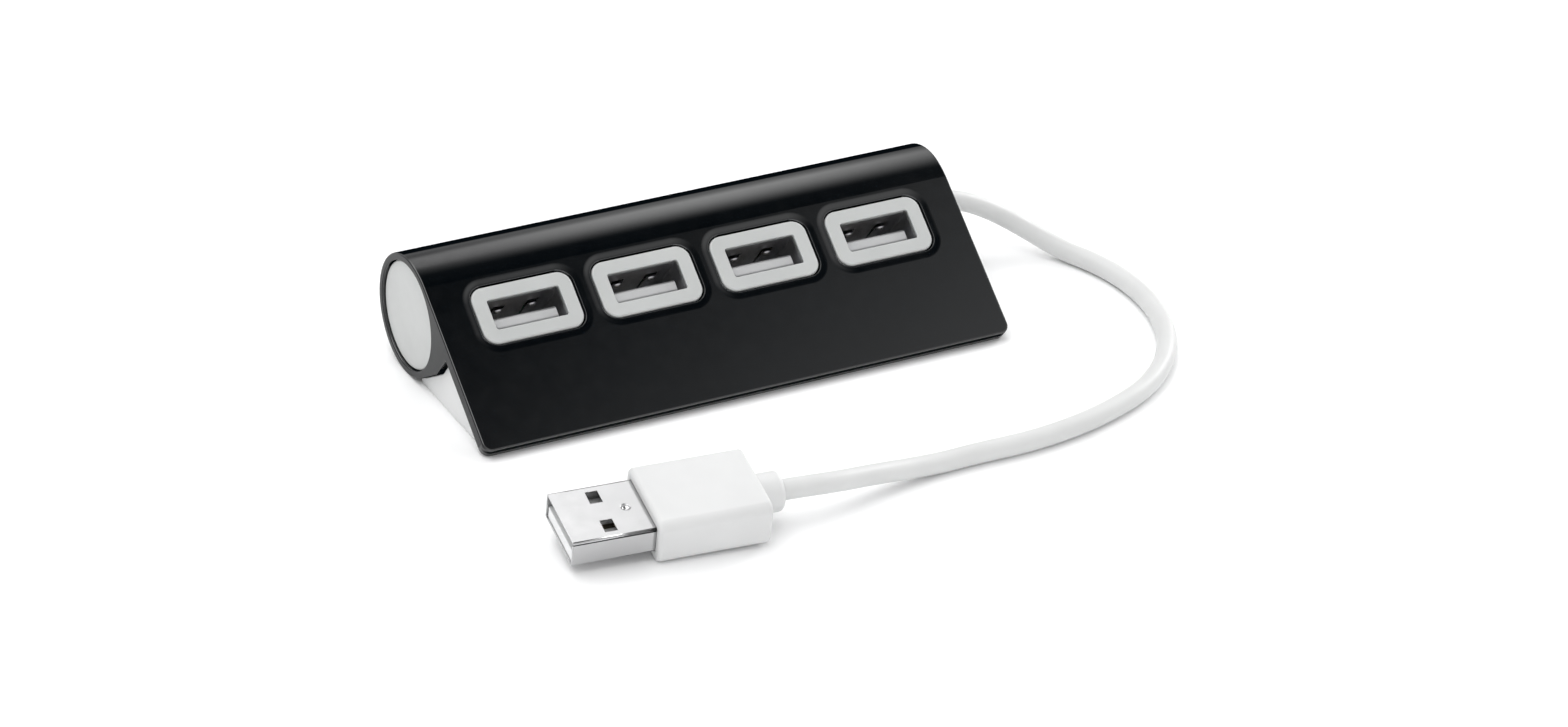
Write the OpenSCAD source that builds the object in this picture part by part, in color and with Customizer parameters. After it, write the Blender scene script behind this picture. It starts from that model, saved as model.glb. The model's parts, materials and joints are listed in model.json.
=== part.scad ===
// Desktop USB hub: a black extruded body with four tilted ports, white caps and
// base, and a short captive cable with a USB-A plug.
// The hub lies along X, its ports face -Y and up, and it rests on Z = 0 with the
// tube's centre line over Y = 0. Lengths are in millimetres.

/* [Body] */
// Length of the extrusion
body_len = 94; // [93:1:110]
// Outer radius of the tube
tube_r = 10.1; // [10.1:0.1:10.6]
// Radius of the tube's bore
bore_r = 8.9; // [8.7:0.1:9]
// Elevation of the port face's normal above the horizon
face_tilt = 54.5; // [53:0.5:56]
// Thickness of the port face's plate
plate_t = 2.1; // [1.9:0.1:2.3]
// Radius of the plate's two lower corners, seen square to the face
plate_corner_r = 1.6; // [1:0.1:3]
// Length of full section that is left at each end of the body
end_len = 5.5; // [5.2:0.1:5.6]

/* [Caps and base] */
// Thickness of an end cap's disc
cap_t = 2; // [1.6:0.1:2.4]
// Depth that a cap sits behind the body's end face
cap_recess = 0.5; // [0.3:0.1:0.8]
// Depth that the base cover sits behind the body's end face
base_recess = 1.2; // [0.8:0.1:1.6]
// Thickness of the base cover's floor
floor_t = 0.9; // [0.7:0.1:1]
// Clearance round parts that are fitted without glue
gap = 0.1; // [0.05:0.01:0.15]

/* [Ports] */
// Distance between port centres
port_pitch = 21; // [20.6:0.1:22]
// Distance from the plate's upper tangent line down the slope to the port centres
port_drop = 6.8; // [6.7:0.1:6.9]
// Width of a white bezel
bezel_w = 17.4; // [16.8:0.1:17.6]
// Height of a white bezel
bezel_h = 9.8; // [9.4:0.1:10]
// Corner radius of a bezel
bezel_r = 2.3; // [1.5:0.1:3]
// Inside width of a port's metal shell
mouth_w = 12.5; // [12.4:0.05:12.6]
// Inside height of a port's metal shell
mouth_h = 5.12; // [5.05:0.01:5.2]
// Depth of the shell's mouth behind the face
mouth_recess = 0.9; // [0.7:0.1:1.1]
// Length of a port's metal shell
port_len = 13.2; // [12.8:0.1:13.3]

/* [Cable] */
// Outside diameter of the cable's jacket
cable_d = 3.3; // [3:0.1:3.5]
// Clearance between a jacket section's round end and the next section's socket
socket_gap = 0.15; // [0.12:0.01:0.2]

/* [Plug] */
// Height of the plug's centre line at its tip
plug_z = 4.4; // [4.4:0.05:5]
// Sideways tilt of the plug as it lies
plug_roll = 7.5; // [0:0.5:8]
// Rise of the plug towards the cable
plug_pitch = 1.3; // [0:0.1:2]
// Width of the plug's metal shell
shell_w = 12; // [11.9:0.05:12.1]
// Height of the plug's metal shell
shell_h = 4.5; // [4.4:0.05:4.6]
// Length of the plug's metal shell in front of the overmould
shell_len = 13.2; // [12.5:0.1:13.5]
// Width of the overmould
mould_w = 15.1; // [14.6:0.1:16]
// Height of the overmould
mould_h = 7.8; // [7.4:0.1:8]
// Length of the overmould
mould_len = 18.2; // [17:0.1:20]
// Radius of the overmould's long edges
mould_r = 1.7; // [1:0.1:2.2]

/* [Hidden] */
$fn = 48;

white_plastic = "whitesmoke";
cap_grey = "gainsboro";
steel = "silver";
gold = "gold";

// The plate's outer face leaves the tube at this tangent line.
slope = 90 - face_tilt;
face_y = -tube_r * cos(face_tilt);
face_z = tube_r + tube_r * sin(face_tilt);
// Down the slope, the plate ends where its inner edge meets the ground.
plate_len = (face_z - plate_t * sin(face_tilt)) / cos(face_tilt);

// The plate's inner edge, where it meets the ground.
inner_y = face_y - plate_len * sin(face_tilt) + plate_t * cos(face_tilt);

pocket_len = body_len - 2 * end_len;
wall_depth = 4.6;
slot_u = 1.4;
// The web's lower face is square to the plate, and then runs tangent to the tube.
web_u = -11.8;
web_blend = 20;

pcb_t = 1;
pcb_top_u = -2.9;
pcb_front_v = -6.7;
pcb_rear_v = -17.6;

port_wall = 0.3;
port_rear_v = -mouth_recess - port_len;
frame_back_v = -6.4;
frame_len = pocket_len - 1.4;
tongue_w = 10.8;
tongue_t = 1.84;
tongue_low = -mouth_h / 2 + 0.78;
tongue_front_v = -mouth_recess - 0.9;
block_len = 2.2;
contact_x = [-3.5, -1, 1, 3.5];

cable_r = cable_d / 2;
exit_x = body_len / 2 + 1.6;
tail_x = 40.2;

relief_d = 6.3;
relief_len = 4;
plug_pivot = shell_len + mould_len + relief_len + 1.6;
shell_wall = 0.3;

// ---- placing ----

// Local axes on the port face: X along the hub, Y up the slope, Z out of the face.
module on_plate() {
    translate([0, face_y, face_z]) rotate([slope, 0, 0]) children();
}

// The same axes in a cross-section of the hub.
module section_on_plate() {
    translate([face_y, face_z]) rotate(slope) children();
}

// A cross-section drawn in Y and Z, run along X about the middle of the hub.
module along_hub(length) {
    rotate([90, 0, 90]) linear_extrude(length, center = true) children();
}

function port_x(i) = (i - 2.5) * port_pitch;

module at_port(i) {
    on_plate() translate([port_x(i), -port_drop, 0]) children();
}

// ---- shared shapes ----

module rounded_square(size, r) {
    dx = size[0] / 2 - r;
    dy = size[1] / 2 - r;
    square([size[0], 2 * dy], center = true);
    square([2 * dx, size[1]], center = true);
    for (sx = [-1, 1]) for (sy = [-1, 1]) translate([sx * dx, sy * dy]) circle(r);
}

// A bar of rounded section along Z, from z0 up to z1.
module rounded_bar(size, r, z0, z1) {
    translate([0, 0, z0]) linear_extrude(z1 - z0) rounded_square(size, r);
}

// A rounded bar along X, from x0 to x1; its width lies along Y and its height along Z.
module bar_along_x(size, r, x0, x1) {
    translate([x0, 0, 0]) rotate([90, 0, 90]) linear_extrude(x1 - x0) rounded_square(size, r);
}

module rod_along_x(r, x0, x1) {
    translate([x0, 0, 0]) rotate([0, 90, 0]) cylinder(h = x1 - x0, r = r);
}

// ---- the body and its covers ----

// Outline of the extrusion: the tube, the sloping plate and the web that joins them.
module body_outline(grow = 0) {
    r = tube_r + grow;
    u = web_u - grow;
    blend_u = -r * cos(web_blend);
    blend_v = -tube_r - r * sin(web_blend);
    translate([0, tube_r]) circle(r, $fn = 96);
    section_on_plate() {
        translate([-plate_len, -plate_t - grow]) square([plate_len, plate_t + grow]);
        polygon([
            [0, 0], [u, 0], [u, blend_v + (blend_u - u) / tan(web_blend)], [blend_u, blend_v],
            [0, -tube_r]
        ]);
    }
}

module plate_corner_cut() {
    r = plate_corner_r;
    difference() {
        translate([0, 0, -plate_t - 1]) cube([r + 1, r + 1, plate_t + 2]);
        translate([0, 0, -plate_t - 2]) cylinder(h = plate_t + 4, r = r);
    }
}

screw_x = body_len / 2 - 3.5;
screw_y = -10.8;
screw_r = 1;

module body_extrusion() color("#15191c") difference() {
    along_hub(body_len) difference() {
        body_outline();
        translate([0, tube_r]) circle(bore_r, $fn = 96);
    }
    // the windows for the four bezels
    for (i = [1:4]) at_port(i)
        rounded_bar([bezel_w + 0.5, bezel_h + 0.5], bezel_r + 0.25, -wall_depth - 1, 1);
    // the milled pocket that the port frame and the board go in through
    on_plate() translate([-pocket_len / 2, -13.8, -26])
        cube([pocket_len, 13.8 + slot_u, 26 - wall_depth]);
    // the lower corners of the plate
    on_plate() for (s = [0, 1]) mirror([s, 0, 0])
        translate([body_len / 2 - plate_corner_r, plate_corner_r - plate_len, 0])
            mirror([0, 1, 0]) plate_corner_cut();
    // the base cover's screw holes
    for (s = [-1, 1]) translate([s * screw_x, screw_y, 3]) cylinder(h = 7.5, r = screw_r);
}

// A push-in cap: a disc with a broken outer edge, and a skirt that grips the bore.
module end_cap() {
    r = bore_r - 0.05;
    x0 = body_len / 2 - cap_recess;
    edge = 0.2;
    skirt_end = pocket_len / 2 + 0.1;
    translate([0, 0, tube_r]) {
        translate([x0 - edge, 0, 0]) rotate([0, 90, 0]) cylinder(h = edge, r1 = r, r2 = r - edge, $fn = 96);
        rod_along_x(r, x0 - cap_t, x0 - edge, $fn = 96);
        difference() {
            rod_along_x(r, skirt_end, x0 - cap_t, $fn = 96);
            rod_along_x(r - 1.2, skirt_end - 1, x0 - cap_t + 1, $fn = 96);
        }
    }
}

module left_end_cap() color(cap_grey) mirror([1, 0, 0]) end_cap();

module right_end_cap() color(cap_grey) difference() {
    end_cap();
    translate([0, 0, tube_r]) rod_along_x(2.4, 40, body_len / 2);
}

// The moulded frame behind the plate, with a bezel that fills each window.
module port_frame() color(white_plastic) difference() {
    union() {
        on_plate() translate([-frame_len / 2, -port_drop - 5.6, frame_back_v])
            cube([frame_len, 10.6, -frame_back_v - wall_depth - gap]);
        for (i = [1:4]) at_port(i) rounded_bar([bezel_w, bezel_h], bezel_r, frame_back_v, 0);
    }
    for (i = [1:4]) at_port(i) {
        rounded_bar([mouth_w, mouth_h], 0.4, -mouth_recess - 1, 1);
        rounded_bar([mouth_w + 0.7, mouth_h + 0.7], 0.6, frame_back_v - 1, -mouth_recess);
    }
}

// Section of the base cover's ends, which fill the triangle below the web.
module base_end_section() {
    difference() {
        polygon([
            [inner_y + 0.3, 0], [-3.9, 0], [-3.9, 3], [-9, 10], [-20, 10], [inner_y + 0.3, 2]
        ]);
        body_outline(grow = gap);
        section_on_plate() translate([-40, 0]) square([60, 30]);
    }
}

// The flat underside runs back to here, just past the tube's lowest line.
flat_rear_y = 0.8;

// Section of the base cover between its ends: a floor, a strip that closes the
// milled slot on the tube's own radius, and a lip under the plate.
module base_mid_section() {
    translate([inner_y + 1.6, 0]) square([flat_rear_y - inner_y - 1.6, floor_t]);
    intersection() {
        difference() {
            translate([0, tube_r]) circle(tube_r, $fn = 96);
            translate([0, tube_r]) circle(bore_r, $fn = 96);
        }
        section_on_plate() translate([-14, -26]) square([14 + slot_u - gap, 26 - wall_depth]);
        translate([-0.01, -1]) square([12, 6]);
    }
    section_on_plate() translate([-plate_len + 3.2, -plate_t - gap - 1.1]) square([9, 1.1]);
    section_on_plate() translate([-plate_len + 3.2, -plate_t - gap - 3.3]) square([1.6, 3.3]);
}

module base_cover() color(white_plastic) {
    end_w = end_len - base_recess + 0.4;
    difference() {
        union() {
            for (s = [-1, 1]) translate([s * (body_len / 2 - base_recess - end_w / 2), 0, 0])
                along_hub(end_w) base_end_section();
            along_hub(pocket_len - 2 * gap) difference() {
                base_mid_section();
                translate([-60, -10]) square([100, 10]);
            }
        }
        for (s = [-1, 1]) translate([s * screw_x, screw_y, -1]) {
            cylinder(h = 12, r = screw_r + 0.15);
            cylinder(h = 2.6, r1 = 2.7, r2 = screw_r);
        }
    }
}

// Countersunk screws that hold the base cover.
module base_screws() color("dimgray") for (s = [-1, 1]) translate([s * screw_x, screw_y, 0.25]) {
    difference() {
        cylinder(h = 1.1, r1 = 1.7, r2 = screw_r - 0.05);
        for (a = [0, 90]) rotate(a) translate([-1.1, -0.25, -1]) cube([2.2, 0.5, 1.6]);
    }
    translate([0, 0, 1.1]) cylinder(h = 7.4, r = screw_r - 0.05);
}

// ---- the electronics ----

module circuit_board() color("seagreen") on_plate()
    translate([-pocket_len / 2 + 0.5, pcb_top_u - pcb_t, pcb_rear_v])
        cube([pocket_len - 1, pcb_t, pcb_front_v - pcb_rear_v]);

// Local axes on the board: X along the hub, Y up from the copper, Z to the front.
module on_board(x, v) {
    on_plate() translate([x, pcb_top_u, v]) children();
}

module hub_controller() color("#202020") on_board(12, -12) {
    translate([-5.1, 0.1, -2.65]) cube([10.2, 1.5, 5.3]);
    for (s = [-1, 1]) for (k = [-6.5:1:6.5]) translate([k * 0.65 - 0.12, 0.02, s * 3.15 - 0.55])
        cube([0.24, 0.55, 1.1]);
}

module clock_crystal() color(steel) on_board(-10, -12)
    translate([0, 0.05, 0]) rotate([-90, 0, 0]) {
        linear_extrude(3.3) rounded_square([10.6, 4.2], 2.05);
        linear_extrude(0.4) rounded_square([11.2, 4.8], 2.35);
    }

module port_capacitors() color("khaki") for (i = [1:4]) on_board(port_x(i) - 8.2, -9.4)
    translate([-1.6, 0.02, -0.8]) cube([3.2, 1.3, 1.6]);

module chip_resistors() color("#303030") for (i = [1:4]) for (k = [-1, 1])
    on_board(port_x(i) - 8.2 + k * 1.1, -15.8) translate([-0.4, 0.02, -0.8]) cube([0.8, 0.45, 1.6]);

// ---- the ports ----

// A folded steel shell with two spring fingers above and two below.
module port_shell(i) color(steel) at_port(i) {
    w = mouth_w + 2 * port_wall;
    h = mouth_h + 2 * port_wall;
    difference() {
        rounded_bar([w, h], 0.5, port_rear_v, -mouth_recess);
        rounded_bar([mouth_w, mouth_h], 0.3, port_rear_v - 1, 1);
        for (x = [-3, 3]) translate([x - 1.1, -h, -9.5]) cube([2.2, 2 * h, 6]);
    }
    for (x = [-3, 3]) for (s = [0, 1]) mirror([0, s, 0])
        translate([x - 0.8, mouth_h / 2, -9.6]) rotate([4, 0, 0]) translate([0, 0, -0.2])
            cube([1.6, port_wall, 5.4]);
}

// The rear block and the tongue that carries the contacts.
module port_insulator(i) color("#e6e7e8") at_port(i) difference() {
    union() {
        rounded_bar([mouth_w - 0.1, mouth_h - 0.1], 0.25, port_rear_v + 0.1, port_rear_v + block_len);
        translate([-tongue_w / 2, tongue_low, port_rear_v + 0.1])
            cube([tongue_w, tongue_t, tongue_front_v - port_rear_v - 0.1]);
    }
    // the lead-in along the tongue's front edge
    translate([-tongue_w, tongue_low + tongue_t, tongue_front_v - 0.5]) rotate([45, 0, 0])
        cube([2 * tongue_w, 2, 2]);
    for (x = contact_x) translate([x - 0.6, tongue_low + tongue_t - 0.35, port_rear_v - 1])
        cube([1.2, 0.7, tongue_front_v - port_rear_v + 0.2]);
}

// Four springs, each with a raised contact point, and a tail up to the board.
module port_contacts(i) color(gold) at_port(i) for (x = contact_x) translate([x - 0.5, 0, 0]) {
    y0 = tongue_low + tongue_t - 0.3;
    tail_v = port_rear_v - 0.3;
    board_y = port_drop + pcb_top_u - pcb_t;
    translate([0, y0, tail_v]) cube([1, 0.2, tongue_front_v - 1 - tail_v]);
    translate([0, y0 + 0.05, tongue_front_v - 3.4]) rotate([0, 90, 0]) difference() {
        cylinder(h = 1, r = 0.42);
        translate([-1, -1, -1]) cube([2, 1, 3]);
    }
    translate([0, y0, tail_v - 0.2]) cube([1, board_y - y0 - 0.04, 0.2]);
    translate([0, board_y - 0.24, tail_v - 1.4]) cube([1, 0.2, 1.4]);
}

// ---- the cable inside the hub ----

module cable_grommet() color(white_plastic) translate([0, 0, tube_r]) difference() {
    x1 = body_len / 2 - cap_recess;
    union() {
        rod_along_x(2.35, x1 - cap_t - 0.9, x1 + 0.5);
        rod_along_x(3, x1 - cap_t - 0.9, x1 - cap_t - gap);
        rod_along_x(3.3, x1 + gap, x1 + 0.9);
    }
    rod_along_x(cable_r + 0.05, 40, body_len / 2 + 5);
}

module cable_tie() color(white_plastic) translate([0, 0, tube_r]) difference() {
    union() {
        rod_along_x(cable_r + 0.75, 41, 42.6);
        translate([40.6, -1.3, cable_r + 0.4]) cube([2.4, 2.6, 1.9]);
    }
    rod_along_x(cable_r + 0.03, 40, 44);
}

// The end of the jacket that the hub holds. Its outer end is round, inside the
// first section's socket, and its inner end is stripped for the wires.
module cable_hub_end() color(white_plastic) translate([0, 0, tube_r]) difference() {
    union() {
        rod_along_x(cable_r, tail_x, exit_x);
        translate([exit_x, 0, 0]) sphere(cable_r);
    }
    rod_along_x(1.25, tail_x - 1, tail_x + 2.5);
}

wire_r = 0.42;
wire_off = 0.55;

// One wire: out of the jacket along X, then down to the board's upper face.
module wire(side, level, bend_x) on_plate() translate([0, level * wire_off, side * wire_off - tube_r]) {
    bend_r = 1.2;
    foot = level * wire_off - bend_r - pcb_top_u - 0.03;
    rod_along_x(wire_r, bend_x, tail_x + 2, $fn = 24);
    translate([bend_x, -bend_r, 0]) {
        rotate([0, 0, 90]) rotate_extrude(angle = 90, $fn = 48) translate([bend_r, 0]) circle(wire_r, $fn = 24);
        translate([-bend_r, 0, 0]) rotate([90, 0, 0]) cylinder(h = foot, r = wire_r, $fn = 24);
    }
}

module red_wire() color("firebrick") wire(1, 1, 35.5);
module white_wire() color("white") wire(-1, 1, 35.5);
module green_wire() color("forestgreen") wire(1, -1, 38.2);
module black_wire() color("#202020") wire(-1, -1, 38.2);

// ---- the flexible cable ----

// The centre line in plan, as arcs from the hub: length, and the turn to the left.
cable_arcs = [
    [1.5, 0], [4.5, -10], [13, -38], [15, -30], [42, -79], [27.5, -25], [27.5, 12], [12, -17]
];
cable_len = arc_sum(len(cable_arcs), 0);
plug_yaw = arc_sum(len(cable_arcs), 1) + 180;
cable_step = 1;
cable_steps = floor(cable_len / cable_step);

// Sum of the lengths (column 0) or the turns (column 1) of the first n arcs.
function arc_sum(n, column) = n == 0 ? 0 : cable_arcs[n - 1][column] + arc_sum(n - 1, column);

// Heading at a length along the cable: the arcs that are passed, and a share of the one reached.
function heading(s, i = 0, turned = 0) =
    i >= len(cable_arcs) ? turned
    : s >= cable_arcs[i][0] ? heading(s - cable_arcs[i][0], i + 1, turned + cable_arcs[i][1])
    : turned + cable_arcs[i][1] * s / cable_arcs[i][0];

function ease(t) = let (k = max(0, min(1, t))) k * k * (3 - 2 * k);

// Height: the cable drops from the tube's centre to the ground, and rises to the plug.
drop_len = 26;
rise_len = 31;
plug_end_z = plug_z + plug_pivot * sin(plug_pitch);
function cable_z(s) = cable_r + (tube_r - cable_r) * (1 - ease(s / drop_len))
    + (plug_end_z - cable_r) * ease((s - cable_len + rise_len) / rise_len);

// The centre line itself, one point for each step.
cable_path = [
    for (i = 0, x = exit_x, y = 0; i <= cable_steps;
        x = x + cable_step * cos(heading((i + 0.5) * cable_step)),
        y = y + cable_step * sin(heading((i + 0.5) * cable_step)), i = i + 1)
    [x, y, cable_z(i * cable_step)]
];
cable_end = cable_path[cable_steps];

// Stations of the hinges along the centre line, from the hub's to the plug's.
hinge_at = [0, 24, 51, 78, 107, cable_steps];

function unit(v) = v / norm(v);
function tangent(i) = unit(cable_path[min(i + 1, cable_steps)] - cable_path[max(i - 1, 0)]);

// A ring of points round a centre, square to a direction.
cable_sides = 16;
function ring(centre, direction, r) =
    let (side = unit([-direction[1], direction[0], 0]), up = cross(direction, side))
    [for (k = [0:cable_sides - 1]) centre + r * (cos(k * 360 / cable_sides) * side
        + sin(k * 360 / cable_sides) * up)];

// A closed tube through a list of rings.
module ring_tube(rings) {
    n = cable_sides;
    last = len(rings) - 1;
    points = [for (r = rings) for (p = r) p];
    sides = [for (j = [0:last - 1]) for (k = [0:n - 1])
        [j * n + k, j * n + (k + 1) % n, (j + 1) * n + (k + 1) % n, (j + 1) * n + k]];
    ends = [[for (k = [0:n - 1]) n - 1 - k], [for (k = [0:n - 1]) last * n + k]];
    polyhedron(points, concat(sides, ends), convexity = 8);
}

// One length of jacket. It starts with a round socket over the piece before it,
// and ends with a ball that the next piece's socket turns on.
socket_r = cable_r + socket_gap;
socket_rim = 0.9;
module cable_section(n) {
    a = hinge_at[n - 1];
    b = hinge_at[n];
    start = cable_path[a];
    end = cable_path[b];
    rim_angle = acos(socket_rim / socket_r);
    ring_tube(concat(
        [for (t = [2, rim_angle / 2, rim_angle])
            ring(start + socket_r * cos(t) * tangent(a), tangent(a), socket_r * sin(t))],
        [ring(start + socket_rim * tangent(a), tangent(a), cable_r)],
        [for (i = [a + 2:2:b - 1]) ring(cable_path[i], tangent(i), cable_r)],
        [for (t = [0, 30, 60, 88]) ring(end + cable_r * sin(t) * tangent(b), tangent(b), cable_r * cos(t))]
    ));
}

module cable_section_1() color(white_plastic) cable_section(1);
module cable_section_2() color(white_plastic) cable_section(2);
module cable_section_3() color(white_plastic) cable_section(3);
module cable_section_4() color(white_plastic) cable_section(4);
module cable_section_5() color(white_plastic) cable_section(5);

// ---- the plug ----

// Local axes of the plug: X from its tip to the cable, Y to its far side, Z up.
module on_plug() {
    translate(cable_end) rotate([0, 0, plug_yaw]) rotate([plug_roll, 0, 0])
        rotate([0, -plug_pitch, 0]) translate([-plug_pivot, 0, 0]) children();
}

mould_x = shell_len;
mould_end = mould_x + mould_len;
relief_end = mould_end + relief_len;
shell_end = mould_x + 5.8;
core_x0 = mould_x + 1;
core_x1 = mould_end - 2.8;
stub_x = mould_x + 9;

module cable_plug_end() color(white_plastic) on_plug() difference() {
    rod_along_x(cable_r, stub_x, plug_pivot - socket_rim);
    translate([plug_pivot, 0, 0]) sphere(socket_r);
}

// The soft outer moulding, with a round strain relief on the cable.
module plug_overmould() color(white_plastic) on_plug() difference() {
    union() {
        bar_along_x([mould_w, mould_h], mould_r, mould_x, mould_end);
        rod_along_x(relief_d / 2, mould_end - 1, relief_end);
    }
    bar_along_x([shell_w + 0.1, shell_h + 0.1], 0.4, mould_x - 1, core_x0 + 1);
    bar_along_x([mould_w - 2.2, mould_h - 2], 0.8, core_x0, core_x1);
    rod_along_x(cable_r + 0.05, core_x1 - 1, relief_end + 1);
}

// The hard inner moulding that grips the shell's tail and the cable.
module plug_inner_mould() color("ivory") on_plug() difference() {
    bar_along_x([mould_w - 2.3, mould_h - 2.1], 0.75, core_x0 + 0.05, core_x1 - 0.05);
    bar_along_x([shell_w + 0.1, shell_h + 0.1], 0.4, mould_x, shell_end + 0.05);
    rod_along_x(cable_r + 0.05, stub_x - 0.05, core_x1 + 1);
}

// The open seam in the shell's near side, below the top face.
seam_drop = 0.55;
seam_w = 0.2;
window_x = 6.5;
window_y = 3.35;
window_size = [1.95, 2.7];

// The folded steel shell, with two windows in each wide face, a stop dimple and its side seam.
module plug_shell() color(steel) on_plug() difference() {
    bar_along_x([shell_w, shell_h], 0.35, 0, shell_end);
    bar_along_x([shell_w - 2 * shell_wall, shell_h - 2 * shell_wall], 0.15, -1, shell_end + 1);
    for (s = [-1, 1]) translate([window_x - window_size[0] / 2, s * window_y - window_size[1] / 2, -shell_h])
        cube([window_size[0], window_size[1], 2 * shell_h]);
    translate([10.4, 0, 0]) cylinder(h = shell_h, r = 0.8);
    translate([-1, -shell_w / 2 - 1, shell_h / 2 - seam_drop]) cube([shell_end + 2, 1.4, seam_w]);
}

plug_block_t = 1.9;
plug_block_z = -shell_h / 2 + shell_wall + 0.03;

module plug_insulator() color("#f2f2f2") on_plug() difference() {
    translate([0.25, -shell_w / 2 + shell_wall + 0.2, plug_block_z])
        cube([shell_end - 0.45, shell_w - 2 * shell_wall - 0.4, plug_block_t]);
    for (y = contact_x) translate([1.9, y - 0.6, plug_block_z + plug_block_t - 0.25])
        cube([shell_end, 1.2, 1]);
}

// Four flat contacts; the outer two are longer, so that power is made first.
module plug_contacts() color(gold) on_plug() for (y = contact_x) {
    x0 = abs(y) > 2 ? 2 : 3;
    translate([x0, y - 0.5, plug_block_z + plug_block_t - 0.23]) cube([shell_end - 0.4 - x0, 1, 0.2]);
}

module port_1_shell() port_shell(1);
module port_2_shell() port_shell(2);
module port_3_shell() port_shell(3);
module port_4_shell() port_shell(4);
module port_1_insulator() port_insulator(1);
module port_2_insulator() port_insulator(2);
module port_3_insulator() port_insulator(3);
module port_4_insulator() port_insulator(4);
module port_1_contacts() port_contacts(1);
module port_2_contacts() port_contacts(2);
module port_3_contacts() port_contacts(3);
module port_4_contacts() port_contacts(4);

body_extrusion();
left_end_cap();
right_end_cap();
port_frame();
base_cover();
base_screws();
circuit_board();
hub_controller();
clock_crystal();
port_capacitors();
chip_resistors();
port_1_shell();
port_2_shell();
port_3_shell();
port_4_shell();
port_1_insulator();
port_2_insulator();
port_3_insulator();
port_4_insulator();
port_1_contacts();
port_2_contacts();
port_3_contacts();
port_4_contacts();
cable_grommet();
cable_tie();
cable_hub_end();
red_wire();
white_wire();
green_wire();
black_wire();
cable_section_1();
cable_section_2();
cable_section_3();
cable_section_4();
cable_section_5();
cable_plug_end();
plug_overmould();
plug_inner_mould();
plug_shell();
plug_insulator();
plug_contacts();
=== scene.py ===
"""Looks for a desktop USB hub: finished meshes, materials, studio and camera round the CAD frame."""
import json
from math import cos, pi, radians, sin

import bmesh
import bpy
from mathutils import Matrix, Vector


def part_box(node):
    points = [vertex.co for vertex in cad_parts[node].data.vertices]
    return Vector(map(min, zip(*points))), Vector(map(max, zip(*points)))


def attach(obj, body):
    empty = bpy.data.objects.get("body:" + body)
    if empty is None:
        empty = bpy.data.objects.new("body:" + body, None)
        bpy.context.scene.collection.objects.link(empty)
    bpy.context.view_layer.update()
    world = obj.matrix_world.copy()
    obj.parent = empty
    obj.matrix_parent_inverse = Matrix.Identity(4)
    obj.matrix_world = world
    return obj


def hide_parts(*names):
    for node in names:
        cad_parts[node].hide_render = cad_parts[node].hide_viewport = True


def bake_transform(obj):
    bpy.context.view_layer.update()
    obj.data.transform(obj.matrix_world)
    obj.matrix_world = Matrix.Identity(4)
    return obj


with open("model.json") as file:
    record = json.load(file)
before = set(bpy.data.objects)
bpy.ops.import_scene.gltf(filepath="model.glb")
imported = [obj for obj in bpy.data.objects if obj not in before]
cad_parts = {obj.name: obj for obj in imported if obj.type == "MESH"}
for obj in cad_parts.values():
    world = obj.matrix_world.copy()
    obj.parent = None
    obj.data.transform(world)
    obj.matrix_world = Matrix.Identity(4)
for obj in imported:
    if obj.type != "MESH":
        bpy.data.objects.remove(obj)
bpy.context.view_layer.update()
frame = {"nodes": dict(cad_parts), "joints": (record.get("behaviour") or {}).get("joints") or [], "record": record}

MM = 0.001
scene = bpy.context.scene
hinges = {joint["name"]: Vector(joint["pos_m"]) for joint in frame["joints"]}
mounts = {mount["name"]: Vector(mount["pos_m"]) for mount in frame["record"]["mounts"]}
PORTS = [1, 2, 3, 4]

# ---- places, worked out from the frame; lengths in metres ----

# The port face: X along the hub, Y up the slope, Z out of the face, from the tube's tangent line.
# FACE_TILT is the angle between Z and the desk.
FACE_TILT = radians(54.5)
TUBE_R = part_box("body_extrusion")[1].z / 2
HALF_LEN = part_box("body_extrusion")[1].x
face_origin = Vector((0, -TUBE_R * cos(FACE_TILT), TUBE_R + TUBE_R * sin(FACE_TILT)))
ON_FACE = Matrix.Translation(face_origin) @ Matrix.Rotation(pi / 2 - FACE_TILT, 4, "X")
port_centres = {i: ON_FACE.inverted() @ mounts[f"port_{i}"] for i in PORTS}

# The plug: X from its tip to the cable, Y to its far side, Z up.
PLUG_YAW, PLUG_ROLL, PLUG_PITCH = radians(-7), radians(7.5), radians(1.3)
plug_end = hinges["plug_swing"]
PLUG_LEN = (plug_end - mounts["plug"]).length
ON_PLUG = (
    Matrix.Translation(plug_end)
    @ Matrix.Rotation(PLUG_YAW, 4, "Z")
    @ Matrix.Rotation(PLUG_ROLL, 4, "X")
    @ Matrix.Rotation(-PLUG_PITCH, 4, "Y")
    @ Matrix.Translation((-PLUG_LEN, 0, 0))
)

# ---- node materials ----


def feed(tree, socket, value):
    """Links another node's output to a socket, or gives the socket a constant."""
    if isinstance(value, bpy.types.NodeSocket):
        tree.links.new(value, socket)
    else:
        socket.default_value = value


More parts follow.
